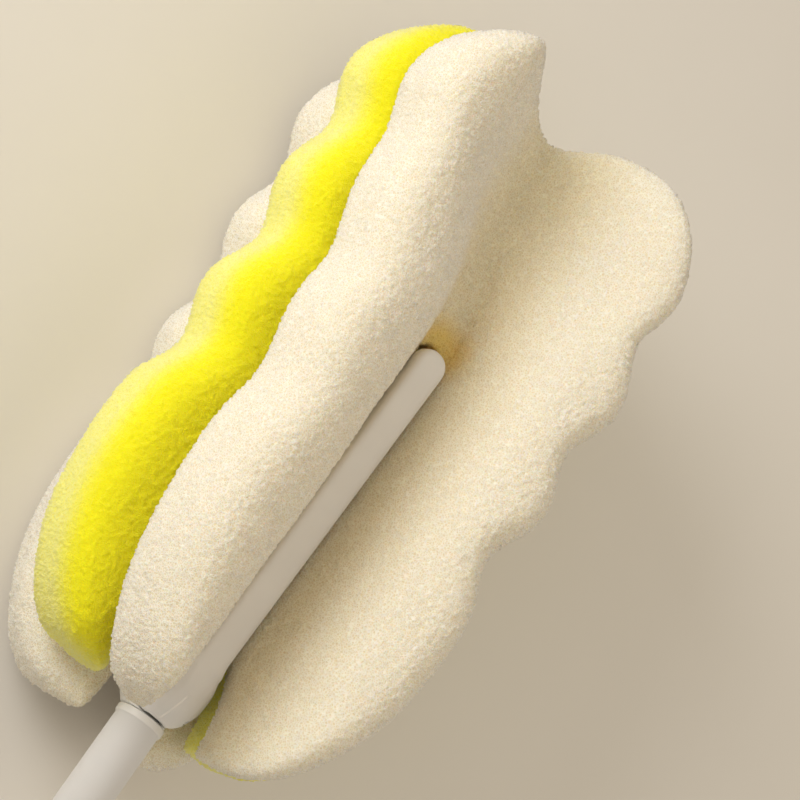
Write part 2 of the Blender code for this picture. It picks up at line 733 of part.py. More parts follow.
def sponges(parent):
    white = material("white_foam")
    yellow = material("yellow_foam")
    places = {
        "front_sponge": (CROTCH_FRONT_HALF_WIDTH, FRONT_BOTTOM_RISE, 0.0, FRONT_OFF_CENTRE),
        "middle_sponge": (CROTCH_HALF_WIDTH, MIDDLE_BOTTOM_RISE, 0.0, MIDDLE_OFF_CENTRE),
        "back_sponge": (CROTCH_BACK_HALF_WIDTH, 0.0, BACK_TOP_DROP, 0.0),
    }
    front = foam_layer("front_sponge", white, parent, folded_point, 1.0, *places["front_sponge"])
    middle = foam_layer("middle_sponge", yellow, parent, flat_point, 1.0, *places["middle_sponge"])
    back = foam_layer("back_sponge", white, parent, folded_point, -1.0, *places["back_sponge"])
    combine(front, slot_cutter(parent), "DIFFERENCE")
    hole = add_cutter("pin_slot", tip_pin(2 * CLEARANCE, OVERRUN, 0.0, 0.0), parent)
    combine(middle, hole, "DIFFERENCE")
    combine(back, hole, "DIFFERENCE")
    return front, middle, back


# The whole brush


def lay_down(frame, front, middle, back):
    """Turn the brush onto its back layer, head towards +Y, and cut that layer flat where it rests."""
    sides = [vert.co.x for layer in (front, middle, back) for vert in layer.data.vertices]
    lowest = max(vert.co.y for vert in back.data.vertices)
    rest = lowest - REST_FLAT_DEPTH
    reach = 2 * FOAM_HALF_WIDTH
    floor = block((-reach, rest, FOAM_BOTTOM - OVERRUN), (reach, rest + FOAM_THICKNESS, FOAM_TOP + OVERRUN))
    combine(back, add_cutter("rest_plane", floor, frame), "DIFFERENCE")
    bottom = -TUBE_LENGTH - CLEARANCE - PLUG_COLLAR_LENGTH - EYE_TAB_WIDTH
    frame.location = (-(min(sides) + max(sides)) / 2, -(bottom + FOAM_TOP) / 2, rest)
    frame.rotation_euler = (-math.pi / 2, 0.0, 0.0)


clear_scene()
parts = new_collection("sponge_cup_brush")
cutters = new_collection("cutters")
brush = empty_at("brush_axis", (0.0, 0.0, 0.0))
hinge = empty_at("prong_hinge", (0.0, -HINGE_FORWARD, HINGE_HEIGHT), brush)

handle_tube(brush)
end_plug(brush)
back_prong(brush)
hinge_pin(brush)
front_prong(hinge)
lay_down(brush, *sponges(brush))
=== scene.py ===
"""Looks of the sponge cup brush: folded open-cell foam, moulded plastic, a drawn steel pin, floor and lamps.

The foam layers are shaped in the brush's own frame: the tube runs along Z with its rim at zero and the head
above it, X is the brush's right and depths are measured forward. to_room() then lays every point down as the
frame does.
"""

import math
from collections import namedtuple

import bmesh
import bpy
import numpy as np
from mathutils import Matrix, Vector, noise


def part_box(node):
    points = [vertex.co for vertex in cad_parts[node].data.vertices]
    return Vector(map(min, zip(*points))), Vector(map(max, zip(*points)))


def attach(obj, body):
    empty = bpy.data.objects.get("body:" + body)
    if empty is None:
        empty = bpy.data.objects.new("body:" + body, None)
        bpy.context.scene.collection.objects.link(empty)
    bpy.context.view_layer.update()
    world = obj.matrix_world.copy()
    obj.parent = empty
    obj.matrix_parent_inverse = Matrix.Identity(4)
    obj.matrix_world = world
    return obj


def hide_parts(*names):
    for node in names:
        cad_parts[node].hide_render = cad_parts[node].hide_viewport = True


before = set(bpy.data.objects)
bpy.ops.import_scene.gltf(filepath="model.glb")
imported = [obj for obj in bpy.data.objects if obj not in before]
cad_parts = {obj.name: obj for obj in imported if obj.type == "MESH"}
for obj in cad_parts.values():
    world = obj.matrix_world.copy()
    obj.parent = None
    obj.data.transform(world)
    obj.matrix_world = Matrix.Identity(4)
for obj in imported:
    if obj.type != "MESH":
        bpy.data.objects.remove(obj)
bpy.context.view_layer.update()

MM = 0.001

# Where the frame lays the brush: its axis across, its rim along Y and its axis above the floor
TUBE_LOW, TUBE_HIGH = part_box("handle_tube")
AXIS_PLACE = (TUBE_LOW.x + TUBE_HIGH.x) / 2
RIM_PLACE = TUBE_HIGH.y
AXIS_HEIGHT = (TUBE_LOW.z + TUBE_HIGH.z) / 2

# Between pieces that move or are pushed together
CLEARANCE = 0.3 * MM

# Handle tube
TUBE_RADIUS = 4.5 * MM
TUBE_WALL = 0.9 * MM
TUBE_LENGTH = 145.0 * MM
TUBE_LIP_PROUD = 0.3 * MM
TUBE_LIP_HEIGHT = 1.6 * MM
TUBE_EDGE_RADIUS = 0.3 * MM
TUBE_SIDES = 96

# Fork
HINGE_FORWARD = 4.3 * MM
HINGE_HEIGHT = 3.9 * MM
KNUCKLE_RADIUS = HINGE_HEIGHT - CLEARANCE
PRONG_WIDTH = 6.8 * MM
PRONG_THICKNESS = 3.8 * MM
PRONG_TIP_HEIGHT = 83.4 * MM
PRONG_LEAN = math.radians(3.0)
TIP_PIN_RADIUS = 2.0 * MM
TIP_PIN_BELOW_TIP = 4.2 * MM

# Saddle that closes the fixed half below the knuckle: its foot on the tube's rim and the floor of its hollow
SADDLE_FOOT = 0.10 * MM
SADDLE_FLOOR = 0.12 * MM

# Outline of one foam layer laid flat
FOAM_BOTTOM = -3.2 * MM
FRONT_BOTTOM_RISE = 2.0 * MM
MIDDLE_BOTTOM_RISE = 4.2 * MM
BACK_TOP_DROP = 6.0 * MM
FOAM_TOP = 137.5 * MM
FOAM_HALF_WIDTH = 37.8 * MM
FRONT_OFF_CENTRE = 1.2 * MM
MIDDLE_OFF_CENTRE = 1.6 * MM
NOTCH_DEPTH = 4.4 * MM
NOTCH_HEIGHTS = (55.3 * MM, 80.5 * MM, 106.2 * MM)
NOTCH_SPREAD = 8.0 * MM
BOTTOM_CORNER_WIDTH = 19.8 * MM
BOTTOM_CORNER_HEIGHT = 39.0 * MM
TOP_CORNER_WIDTH = 21.5 * MM
TOP_CORNER_HEIGHT = 25.5 * MM
CROTCH_HEIGHT = 16.5 * MM
CROTCH_HALF_WIDTH = 11.8 * MM
CROTCH_FRONT_HALF_WIDTH = 8.0 * MM
CROTCH_BACK_HALF_WIDTH = 6.6 * MM
CROTCH_BACK_INNER_HALF_WIDTH = 9.4 * MM
BACK_BOTTOM_RISE = -1.2 * MM
HUG_START_SHARE = 0.60
TOP_DIP = 6.5 * MM
TOP_DIP_HALF_WIDTH = 15.0 * MM
HEAD_SKEW = 2.8 * MM
SKEW_START = 86.0 * MM
SKEW_LENGTH = 40.0 * MM

# Thickness, pinch and fold of the layers
LAYERS_PER_PRONG = 1.5
FOAM_THICKNESS = 19.0 * MM
FOAM_PINCHED = 5.3 * MM
FOAM_BONDED = 3.6 * MM
PINCH_MARGIN = 0.1 * MM
MIDDLE_RECOVERY = 24.0 * MM
OUTER_RECOVERY = 22.0 * MM
BOND_LENGTH = 34.0 * MM
BOND_HALF_WIDTH = 2.5 * MM
BOND_RECOVERY = 24.0 * MM
WING_START = 4.0 * MM
WING_BEND = 8.0 * MM
LEAN_LENGTH = 16.0 * MM
WING_SLOPE = 0.26
WING_EASE_START = 48.0 * MM
WING_EASE_LENGTH = 70.0 * MM
RECOVERY_POWER = 2.4
FOAM_EDGE_RADIUS = 6.5 * MM
STRIP_SHARE = 0.10

# The front layer's left wing, fuller than the rest: shallower notches and a wider lobe at its top
FULLER_NOTCH = 2.2 * MM
FULLER_TOP = 2.6 * MM
FULLER_TOP_START = 88.0 * MM
FULLER_TOP_LENGTH = 34.0 * MM

# Slot over the prong's tip
SLOT_HALF_WIDTH = 2.8 * MM
SLOT_TOP_ABOVE_TIP = 1.2 * MM
SLOT_TOP_HALF_WIDTH = 1.0 * MM

# Fineness: cuts of the foam block, crowding of its rows at the ends, remesh sizes, rounds of smoothing
BLOCK_CUTS = (56, 14, 116)
EVEN_ROWS_SHARE = 0.45
FOLD_SAMPLES = 120
FOLD_REACH = 1.4 * FOAM_HALF_WIDTH
FOAM_VOXEL = 0.41 * MM
FOAM_SMOOTHING = 8
RIDGE_BLUR_SHARES = np.linspace(-0.22, 0.22, 7)
PLASTIC_VOXEL = 0.22 * MM
PLASTIC_SMOOTHING = 4

# Foam skin: soft swells, cut-open cells and loose ends of struts
SWELL_SIZE = 14.0 * MM
SWELL_DEPTH = 0.35 * MM
CELL_SIZE = 0.7 * MM
CELL_DEPTH = 0.07 * MM
STRUT_DEPTH = 0.50 * MM
STRUT_RARITY = 3

# The mould's parting line, a fine ridge up the front of the bulb
PARTING_PLACE = AXIS_PLACE + 0.2 * MM
PARTING_HALF_WIDTH = 0.24 * MM
PARTING_HEIGHT = 0.22 * MM
PARTING_LOW, PARTING_HIGH = RIM_PLACE + 0.6 * MM, RIM_PLACE + 6.4 * MM
PARTING_FACING = 0.3

# The foam's material: its net of cells with a finer grain, and the reach of its painted warm shade in the
# folds and of its painted golden light about the slot
CELL_SPACING = 0.5 * MM
CELL_DRIFT_SCALE = 0.4 / CELL_SPACING
STRUT_MIDDLE, STRUT_SIDE = 0.02, 0.20
GRAIN_SCALE, GRAIN_SHARE = 1.6 / CELL_SPACING, 1.6
PORE_RELIEF, STRUT_RELIEF = 0.45, 1.55
RELIEF_STRENGTH, RELIEF_HEIGHT = 0.65, 0.2 * MM
GROOVE_FAR, GROOVE_NEAR = 15.0 * MM, 4.0 * MM
UNDER_WING_ABOVE_AXIS = 11.0 * MM
UNDER_WING_FAR, UNDER_WING_NEAR = 10.0 * MM, 3.0 * MM
TIP_ASIDE, TIP_ABOVE = 0.6 * MM, 1.5 * MM
TIP_FAR, TIP_NEAR = 8.0 * MM, 2.0 * MM

# Other materials: the painted highlight along the plastic's parting line, its flow and sparked skin, the pin's
# drawn lines, the floor's mottle
LINE_FAR, LINE_NEAR = 0.26 * MM, 0.06 * MM
LINE_FADE = 0.8 * MM
FLOW_SIZE = 9.0 * MM
PLASTIC_ROUGHNESS = (0.40, 0.52)
SPARK_SIZE = 0.35 * MM
SPARK_STRENGTH, SPARK_HEIGHT = 0.12, 0.03 * MM
DRAWN_LINE_SIZE = 0.12 * MM
DRAWN_LINE_STRETCH = (0.05, 1.0, 1.0)
STEEL_ROUGHNESS = (0.22, 0.42)
MOTTLE_SIZE = 40.0 * MM

# Floor and lamps, in metres, degrees and watts
FLOOR_HALF_SIZE = 3.0
HEAD_PLACE = (0.0, 0.09, 0.03)
WINDOW_PLACE, WINDOW_SIZE, WINDOW_CONE, WINDOW_POWER = (-0.448, 0.18, 0.237), 0.32, 70, 0.345
BOUNCE_PLACE, BOUNCE_SIZE, BOUNCE_CONE, BOUNCE_POWER = (0.35, 0.1, 0.8), 0.9, 180, 1.1
SKY_COLOUR, SKY_STRENGTH = (1.0, 0.89, 0.75, 1.0), 0.55

# Camera, as fitted to the photograph: its place and aim from the tube's rim, its tilt and its focal length
CAMERA_DISTANCE = 0.600
CAMERA_TURN = math.radians(27.0)
CAMERA_HEIGHT = -0.105
CAMERA_TILT = math.radians(35.2)
AIM_ACROSS = 0.00495
AIM_HEIGHT = 0.07528
FOCAL_PIXELS = 3420
PHOTO_PIXELS = 800
SENSOR_WIDTH = 36.0

# One foam layer: how it is folded, which way it faces, its arch over the bulb at its inner and outer face,
# how much its lower end is raised, its upper end lowered and its outline moved left, and whether its left
# wing is fuller
Layer = namedtuple("Layer", "folded facing inner_arch outer_arch rise drop off_centre fuller")


# Laying the brush down


def to_room(x, forward, height):
    """Points of the brush's own frame as it lies on the floor."""
    return np.stack([x + AXIS_PLACE, height + RIM_PLACE, forward + AXIS_HEIGHT], axis=-1)


# The foam's flat outline


def smooth(share):
    share = np.clip(share, 0.0, 1.0)
    return share * share * (3 - 2 * share)


def corner(share):
    """How far a round corner has drawn in, from none to all of its width."""
    return 1 - np.sqrt(np.clip(1 - np.clip(share, 0.0, 1.0) ** 2, 0.0, 1.0))


def half_width(height):
    width = FOAM_HALF_WIDTH - BOTTOM_CORNER_WIDTH * corner(
        (FOAM_BOTTOM + BOTTOM_CORNER_HEIGHT - height) / BOTTOM_CORNER_HEIGHT
    )
    width -= TOP_CORNER_WIDTH * corner((height - FOAM_TOP + TOP_CORNER_HEIGHT) / TOP_CORNER_HEIGHT)
    for notch in NOTCH_HEIGHTS:
        width = width - NOTCH_DEPTH * np.exp(-(((height - notch) / NOTCH_SPREAD) ** 2))
    return width


def bottom_edge(across, depth_share, inner_arch, outer_arch):
    """The layer's lower end, arched over the fork's bulb and closer about it at the layer's outer face."""
    hug = smooth((depth_share - HUG_START_SHARE) / (1 - HUG_START_SHARE))
    arch = inner_arch + (outer_arch - inner_arch) * hug
    return CROTCH_HEIGHT - (CROTCH_HEIGHT - FOAM_BOTTOM) * corner(np.abs(across) / arch)


def top_edge(across):
    return FOAM_TOP - TOP_DIP * (1 - smooth(np.abs(across) / TOP_DIP_HALF_WIDTH))


# The pinch between the prongs and the fold of the wings


def prong_inner_reach(height):
    """How far a prong's inner face stands from the brush's axis at a height."""
    pinched_stack = LAYERS_PER_PRONG * FOAM_PINCHED + 2 * CLEARANCE
    middle = (PRONG_TIP_HEIGHT + CROTCH_HEIGHT) / 2
    return pinched_stack + (height - middle) * math.tan(PRONG_LEAN)


def above_prongs(height):
    return smooth((height - PRONG_TIP_HEIGHT) / BOND_LENGTH)


def pinched_half_width(height):
    beside = PRONG_WIDTH / 2 + PINCH_MARGIN
    return beside + (BOND_HALF_WIDTH - beside) * above_prongs(height)


def pinched(height):
    held = (prong_inner_reach(np.minimum(height, PRONG_TIP_HEIGHT)) - 2 * CLEARANCE) / LAYERS_PER_PRONG
    return held + (FOAM_BONDED - held) * above_prongs(height)


def thickness(across, height, recovery):
    """Full at the wings and thin on the centre line: a steep rise beside the prongs, a slope above."""
    centre = pinched(height)
    bonded = above_prongs(height)
    length = recovery + (BOND_RECOVERY - recovery) * bonded
    share = np.clip((across - pinched_half_width(height)) / length, 0.0, 1.0)
    steep = 1 - (1 - share) ** RECOVERY_POWER
    beyond = (across - pinched_half_width(height)) / length
    ramp = np.mean([np.clip(beyond + shift, 0.0, 1.0) for shift in RIDGE_BLUR_SHARES], axis=0)
    sloped = (ramp + smooth(ramp)) / 2
    return centre + (FOAM_THICKNESS - centre) * (steep + (sloped - steep) * bonded)


def flat_layer(across, height, depth_share):
    return across, thickness(np.abs(across), height, MIDDLE_RECOVERY) * (depth_share - 0.5)


def fold_table(rows, x):
    """An outer layer across its rows: its inner face, lean and thickness, and the length along its middle."""
    beyond = np.clip(x - WING_START, 0.0, None)
    ease = smooth((rows - WING_EASE_START) / WING_EASE_LENGTH)
    bent = np.where(beyond < WING_BEND, beyond**2 / (2 * WING_BEND), beyond - WING_BEND / 2)
    opening = WING_SLOPE * (1 - ease) * bent
    out = thickness(x, rows, MIDDLE_RECOVERY) / 2 + CLEARANCE + opening
    strip = pinched_half_width(rows)
    lean = math.atan(WING_SLOPE) * (1 - ease) * smooth((x - strip) / LEAN_LENGTH)
    depth = thickness(x, rows, OUTER_RECOVERY)
    middle_x = x - depth / 2 * np.sin(lean)
    middle_out = out + depth / 2 * np.cos(lean)
    rise = np.where(x[:, 1:] > strip, np.diff(middle_out, axis=1), 0.0)
    length = np.cumsum(np.hypot(np.diff(middle_x, axis=1), rise), axis=1)
    return out, lean, depth, np.concatenate([np.zeros((len(rows), 1)), length], axis=1)


def folded_layer(across, height, depth_share):
    """Points of an outer layer, its length kept along its middle, so that its wings lean open."""
    x = np.linspace(0.0, FOLD_REACH, FOLD_SAMPLES)[None, :]
    out, lean, depth, length = fold_table(height[:, None], x)
    along = np.abs(across)
    left = np.clip((length < along[:, None]).sum(axis=1) - 1, 0, FOLD_SAMPLES - 2)
    pick = np.arange(len(height))
    part = (along - length[pick, left]) / (length[pick, left + 1] - length[pick, left])

    def between(table):
        return table[pick, left] * (1 - part) + table[pick, left + 1] * part

    x = np.broadcast_to(x, out.shape)
    base_x, base_out, leaning, deep = (between(table) for table in (x, out, lean, depth))
    deep = deep * depth_share
    return np.copysign(base_x - deep * np.sin(leaning), across), base_out + deep * np.cos(leaning)


# From a block to a closed foam layer


def block_skin(cuts):
    """The skin of a block from -1 to 1 on each axis, as points and faces, cut evenly along each axis."""
    bm = bmesh.new()
    for axis in range(3):
        first, second = (cuts[i] for i in range(3) if i != axis)
        turn = (Matrix.Rotation(math.pi / 2, 4, "Z") @ Matrix.Rotation(math.pi / 2, 4, "X"),
                Matrix.Rotation(math.pi / 2, 4, "X"), Matrix.Identity(4))[axis]
        for side in (-1.0, 1.0):
            place = turn @ Matrix.Translation((0, 0, side))
            bmesh.ops.create_grid(bm, x_segments=first, y_segments=second, size=1.0, matrix=place)
    bmesh.ops.remove_doubles(bm, verts=bm.verts, dist=1.0 / (4 * max(cuts)))
    bmesh.ops.recalc_face_normals(bm, faces=bm.faces)
    return bm


def edge_inset(depth):
    """How far the rounded edge draws in at a depth from -1 to 1."""
    straight = 1 - 2 * FOAM_EDGE_RADIUS / FOAM_THICKNESS
    return FOAM_EDGE_RADIUS * corner((np.abs(depth) - straight) / (1 - straight))


def spread(share, reach):
    """A place across the layer: the strip under the prongs keeps its width, the rest stretches."""
    strip = PRONG_WIDTH / 2 + PINCH_MARGIN
    outside = (np.abs(share) - STRIP_SHARE) / (1 - STRIP_SHARE)
    wide = np.copysign(strip + (reach - strip) * outside, share)
    return np.where(np.abs(share) <= STRIP_SHARE, share / STRIP_SHARE * strip, wide)


def crowd_ends(share):
    """Rows along the layer, closer together towards its two ends."""
    return EVEN_ROWS_SHARE * share + (1 - EVEN_ROWS_SHARE) * np.sin(share * math.pi / 2)


def fuller_left(row):
    """How much wider the front layer's left wing is at a row."""
    notches = sum(np.exp(-(((row - notch) / NOTCH_SPREAD) ** 2)) for notch in NOTCH_HEIGHTS)
    return FULLER_NOTCH * notches + FULLER_TOP * smooth((row - FULLER_TOP_START) / FULLER_TOP_LENGTH)


def foam_points(block, layer):
    """The block's points as one layer, drawn to its outline, pinched, folded and laid down."""
    u, w, v = block.T
    w = np.sin(w * math.pi / 2)
    v = crowd_ends(v)
    inset = edge_inset(w)
    deep = (w + 1) / 2
    at_bottom = spread(u, half_width(np.full_like(u, FOAM_BOTTOM)) - inset)
    at_top = spread(u, half_width(np.full_like(u, FOAM_TOP)) - inset)
    low = bottom_edge(at_bottom, deep, layer.inner_arch, layer.outer_arch) + inset
    high = top_edge(at_top) - inset
    height = low + layer.rise + (high - layer.drop - low - layer.rise) * (v + 1) / 2
    row = FOAM_BOTTOM + inset + (FOAM_TOP - FOAM_BOTTOM - 2 * inset) * (v + 1) / 2
    reach = half_width(row) - inset - np.copysign(layer.off_centre, u)
    if layer.fuller:
        reach += np.where(u < 0, fuller_left(row), 0.0)
    x, out = layer.folded(spread(u, reach), height, deep)
    x = x - HEAD_SKEW * smooth((height - SKEW_START) / SKEW_LENGTH)
    return to_room(x, layer.facing * out, height)


def mesh_object(name, mesh):
    piece = bpy.data.objects.new(name, mesh)
    bpy.context.scene.collection.objects.link(piece)
    return piece


def made_mesh(name, bm):
    mesh = bpy.data.meshes.new(name)
    bmesh.ops.recalc_face_normals(bm, faces=bm.faces)
    bm.to_mesh(mesh)
    bm.free()
    return mesh


def prism_mesh(name, outline, along):
    """A closed prism: a flat outline drawn along a vector."""
    bm = bmesh.new()
    face = bm.faces.new([bm.verts.new(point) for point in outline])
    grown = bmesh.ops.extrude_face_region(bm, geom=[face])
    bmesh.ops.translate(bm, verts=[g for g in grown["geom"] if isinstance(g, bmesh.types.BMVert)], vec=along)
    return made_mesh(name, bm)


def arc(centre, radius, start, end, count):
    angles = np.linspace(start, end, count)
    return [(centre[0] + radius * math.cos(a), centre[1] + radius * math.sin(a)) for a in angles]


def finished(piece):
    """The piece's mesh with all its modifiers applied."""
    bpy.context.view_layer.update()
    seen = piece.evaluated_get(bpy.context.evaluated_depsgraph_get())
    mesh = bpy.data.meshes.new_from_object(seen)
    piece.modifiers.clear()
    piece.data = mesh
    return piece


def remeshed(piece, voxel, rounds):
    """One even skin over the piece, with its edges softened."""
    step = piece.modifiers.new("even_skin", "REMESH")
    step.mode = "VOXEL"
    step.voxel_size = voxel
    soften = piece.modifiers.new("soften", "SMOOTH")
    soften.factor = 0.5
    soften.iterations = rounds
    return finished(piece)


def cut(piece, cutter_mesh, operation="DIFFERENCE"):
    cutter = mesh_object("cutter", cutter_mesh)
    step = piece.modifiers.new("cut", "BOOLEAN")
    step.operation = operation
    step.solver = "EXACT"
    step.object = cutter
    finished(piece)
    bpy.data.objects.remove(cutter)


def slot_mesh():
    """The drop-shaped slot in the front layer, round below and narrow at its top."""
    outline = arc((0.0, PRONG_TIP_HEIGHT - TIP_PIN_BELOW_TIP), SLOT_HALF_WIDTH, math.pi, math.tau, 13)
    top = PRONG_TIP_HEIGHT + SLOT_TOP_ABOVE_TIP
    outline += [(SLOT_HALF_WIDTH, PRONG_TIP_HEIGHT), (SLOT_TOP_HALF_WIDTH, top)]
    outline += [(-SLOT_TOP_HALF_WIDTH, top), (-SLOT_HALF_WIDTH, PRONG_TIP_HEIGHT)]
    x, height = np.array(outline).T
    ahead = Vector((0, 0, prong_inner_reach(PRONG_TIP_HEIGHT) + FOAM_THICKNESS))
    return prism_mesh("slot", to_room(x, np.zeros_like(x), height), ahead)


def pin_hole_mesh():
    """The round way of the tip pin, which curves about the hinge."""
    height = PRONG_TIP_HEIGHT - TIP_PIN_BELOW_TIP - HINGE_HEIGHT
    reach = prong_inner_reach(PRONG_TIP_HEIGHT) + PRONG_THICKNESS
    start = math.atan2(reach - HINGE_FORWARD, height)
    end = math.atan2(-reach - HINGE_FORWARD, height)
    hinge = to_room(0.0, HINGE_FORWARD, HINGE_HEIGHT)
    radius = math.hypot(height, reach - HINGE_FORWARD)
    place = Matrix.Translation(hinge) @ Matrix.Rotation(start, 4, "X")
    place = place @ Matrix.Translation((0, radius, 0)) @ Matrix.Rotation(math.pi, 4, "X")
    bm = bmesh.new()
    ring = bmesh.ops.create_circle(
        bm, cap_ends=True, segments=20, radius=TIP_PIN_RADIUS + 2 * CLEARANCE, matrix=place
    )
    swept = bm.faces[:] + bm.edges[:] + ring["verts"]
    bmesh.ops.spin(bm, geom=swept, cent=hinge, axis=(1, 0, 0), angle=end - start, steps=10)
    return made_mesh("pin_hole", bm)


def porous(piece, seed):
    """Moves each point of the skin by soft swells, cut-open cells and loose ends of struts."""
    mesh = piece.data
    count = len(mesh.vertices)
    points = np.zeros(count * 3)
    normals = np.zeros(count * 3)
    mesh.vertices.foreach_get("co", points)
    mesh.vertices.foreach_get("normal", normals)
    points = points.reshape(-1, 3)
    normals = normals.reshape(-1, 3)
    shift = Vector((seed, 2.0 * seed, 3.0 * seed))
    swell = np.array([noise.noise(Vector(p) / SWELL_SIZE + shift) for p in points])
    cells = np.array([noise.noise(Vector(p) / CELL_SIZE + shift) for p in points])
    ends = np.random.default_rng(seed).random(count) ** STRUT_RARITY
    out = SWELL_DEPTH * swell + CELL_DEPTH * cells + STRUT_DEPTH * ends
    points += normals * out[:, None]
    points[:, 2] = np.maximum(points[:, 2], 0.0)
    mesh.vertices.foreach_set("co", points.ravel())
    mesh.update()
    mesh.shade_smooth()


def foam_layer(name, layer, cutter, seed):
    bm = block_skin(BLOCK_CUTS)
    block = np.array([vert.co[:] for vert in bm.verts])
    for vert, point in zip(bm.verts, foam_points(block, layer)):
        vert.co = point
    piece = mesh_object(name, made_mesh(name, bm))
    cut(piece, cutter)
    remeshed(piece, FOAM_VOXEL, FOAM_SMOOTHING)
    porous(piece, seed)
    return piece


# Plastic mouldings


def tube_mesh():
    """The handle's tube with its low lip, turned finely enough for an even gleam."""
    inner, lip, edge = TUBE_RADIUS - TUBE_WALL, TUBE_RADIUS + TUBE_LIP_PROUD, TUBE_EDGE_RADIUS
    quarter = math.pi / 2
    profile = arc((inner + edge, -edge), edge, math.pi, quarter, 4)
    profile += arc((lip - edge, -edge), edge, quarter, 0.0, 4)
    profile += arc((lip - edge, edge - TUBE_LIP_HEIGHT), edge, 0.0, -quarter, 4)
    profile += arc((TUBE_RADIUS - edge, edge - TUBE_LENGTH), edge, 0.0, -quarter, 4)
    profile.append((inner, -TUBE_LENGTH))
    radius, height = np.array(profile).T
    turn = np.arange(TUBE_SIDES)[:, None] * math.tau / TUBE_SIDES
    points = to_room(radius * np.cos(turn), radius * np.sin(turn), height + 0.0 * turn)
    bm = bmesh.new()
    rows = [[bm.verts.new(point) for point in row] for row in points]
    for row, after in zip(rows, rows[1:] + rows[:1]):
        for i in range(len(row)):
            bm.faces.new((row[i - 1], row[i], after[i], after[i - 1]))
    return made_mesh("tube", bm)


def saddle_mesh():
    """The fixed half's seat below the moving half's knuckle: round like the tube, hollow about the hinge."""
    outline = arc((HINGE_FORWARD, HINGE_HEIGHT), KNUCKLE_RADIUS + CLEARANCE / 2, math.pi, 1.5 * math.pi, 9)
    outline += [(HINGE_FORWARD, SADDLE_FOOT), (-HINGE_FORWARD / 2, SADDLE_FOOT)]
    outline.append((-HINGE_FORWARD / 2, HINGE_HEIGHT))
    outline = [(forward, max(height, SADDLE_FLOOR)) for forward, height in outline]
    forward, height = np.array(outline).T
    points = to_room(np.full_like(forward, -TUBE_RADIUS), forward, height)
    seat = mesh_object("saddle", prism_mesh("saddle", points, Vector((2 * TUBE_RADIUS, 0, 0))))
    bm = bmesh.new()
    place = Matrix.Translation(to_room(0.0, 0.0, HINGE_HEIGHT / 2)) @ Matrix.Rotation(math.pi / 2, 4, "X")
    bmesh.ops.create_cone(
        bm, cap_ends=True, segments=TUBE_SIDES, radius1=TUBE_RADIUS, radius2=TUBE_RADIUS,
        depth=2 * HINGE_HEIGHT, matrix=place,
    )
    cut(seat, made_mesh("round", bm), "INTERSECT")
    mesh = seat.data
    bpy.data.objects.remove(seat)
    return mesh


def moulding(name, node, addition=None):
    """A CAD node's shape, with an addition, under one even skin with the soft inner corners of a moulding."""
    piece = mesh_object(name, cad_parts[node].data.copy())
    if addition:
        bm = bmesh.new()
        bm.from_mesh(piece.data)
        bm.from_mesh(addition)
        piece.data = made_mesh(name, bm)
    remeshed(piece, PLASTIC_VOXEL, PLASTIC_SMOOTHING)
    piece.data.shade_smooth()
    return piece


def raise_parting_line(piece):
    """The fine ridge that the mould's two halves leave up the front of the bulb."""
    for vert in piece.data.vertices:
        aside = abs(vert.co.x - PARTING_PLACE)
        along = PARTING_LOW < vert.co.y < PARTING_HIGH
        if aside < PARTING_HALF_WIDTH and along and vert.normal.z > PARTING_FACING:
            vert.co += vert.normal * PARTING_HEIGHT * (1 - aside / PARTING_HALF_WIDTH)


# Materials


def linear(code):
    """An sRGB hex colour as linear light."""
    parts = [int(code[i : i + 2], 16) / 255 for i in (0, 2, 4)]
    return tuple(c / 12.92 if c <= 0.04045 else ((c + 0.055) / 1.055) ** 2.4 for c in parts) + (1.0,)


def add(tree, kind, settings=None, inputs=None):
    """One node with its settings, and its inputs, given as values or as other nodes' outputs."""
    node = tree.nodes.new(kind)
    for name, value in (settings or {}).items():
        setattr(node, name, value)
    for name, value in (inputs or {}).items():
        if isinstance(value, bpy.types.NodeSocket):
            tree.links.new(value, node.inputs[name])
        else:
            node.inputs[name].default_value = value
    return node


def new_material(name):
    """An empty material with a Principled shader joined to its output."""
    made = bpy.data.materials.new(name)
    made.use_nodes = True
    tree = made.node_tree
    tree.nodes.clear()
    shader = add(tree, "ShaderNodeBsdfPrincipled")
    add(tree, "ShaderNodeOutputMaterial", inputs={"Surface": shader.outputs[0]})
    return made, tree, shader


def join(tree, outputs, shader):
    """Links outputs to the shader's sockets of those names."""
    for name, output in outputs.items():
        tree.links.new(output, shader.inputs[name])


def pattern(tree, place, scale, detail=2.0):
    return add(tree, "ShaderNodeTexNoise", inputs={"Vector": place, "Scale": scale, "Detail": detail})


def mixed(tree, factor, first, second, blend="MIX"):
    return add(
        tree, "ShaderNodeMix", {"data_type": "RGBA", "blend_type": blend}, {0: factor, 6: first, 7: second}
    ).outputs[2]


def ranged(tree, value, start, end, low=0.0, high=1.0, kind="LINEAR"):
    """A value between start and end brought to lie between low and high, and held there beyond them."""
    span = {"Value": value, "From Min": start, "From Max": end, "To Min": low, "To Max": high}
    return add(tree, "ShaderNodeMapRange", {"interpolation_type": kind}, span).outputs[0]


def bumped(tree, height, strength, distance):
    return add(
        tree, "ShaderNodeBump", inputs={"Height": height, "Strength": strength, "Distance": distance}
    ).outputs[0]


def nearing(tree, place, axis, centre, far, near):
    """Zero at the far distance from a plane across the axis, rising to one at the near distance."""
    along = add(tree, "ShaderNodeSeparateXYZ", inputs={0: place}).outputs[axis]
    aside = add(tree, "ShaderNodeMath", {"operation": "SUBTRACT"}, {0: along, 1: centre}).outputs[0]
    distance = add(tree, "ShaderNodeMath", {"operation": "ABSOLUTE"}, {0: aside}).outputs[0]
    return ranged(tree, distance, far, near, kind="SMOOTHSTEP")


